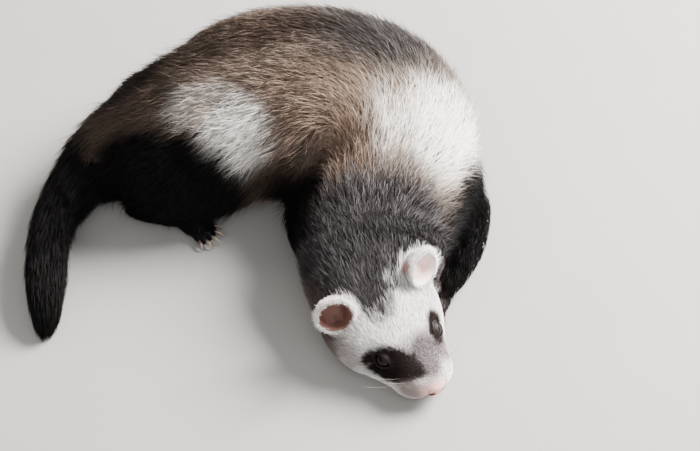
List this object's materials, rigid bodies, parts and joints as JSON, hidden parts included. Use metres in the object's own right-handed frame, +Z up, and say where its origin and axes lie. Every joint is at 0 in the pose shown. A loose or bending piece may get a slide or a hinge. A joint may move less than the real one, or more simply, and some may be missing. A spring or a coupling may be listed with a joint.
{
  "type": "ferret",
  "caption": "Life-size ferret lying curled on its belly, chin on the floor, tail laid forward beside its hind leg.",
  "frame": {"origin": "on the floor, under the middle of the lying animal's bounding box", "axes": "+Z up from the floor; +Y away from the viewer, towards the curled back; +X towards the animal's left shoulder, with the tail on the -X side and the nose towards -Y"},
  "size_m": [0.2456, 0.2198, 0.0831],
  "materials": {
    "white_mask_fur": "short white fur with a dark mask round the eyes and a pink nose",
    "grey_fur": "dark grey fur with pale tips",
    "cream_fur": "dense white to cream fur",
    "tan_fur": "cream undercoat under dark guard hairs",
    "grizzled_fur": "grey-brown fur with dark tips",
    "black_fur": "near-black fur",
    "ear": "pink skin with a white furred rim",
    "eye": "wet black-brown eyeball",
    "foot": "short black fur with pale horn claws"
  },
  "bodies": {
    "root": {"belly": "tan_fur", "chest": "cream_fur", "ear_left": "ear", "ear_right": "ear", "eye_left": "eye", "eye_right": "eye", "forearm_left": "black_fur", "forearm_right": "black_fur", "forepaw_left": "foot", "forepaw_right": "foot", "head": "white_mask_fur", "hind_foot_left": "foot", "hind_foot_right": "foot", "neck": "grey_fur", "rump": "grizzled_fur", "shank_left": "black_fur", "shank_right": "black_fur", "tail": "black_fur", "thigh_left": "black_fur", "thigh_right": "black_fur", "upper_arm_left": "black_fur", "upper_arm_right": "black_fur"}
  },
  "joints": []
}
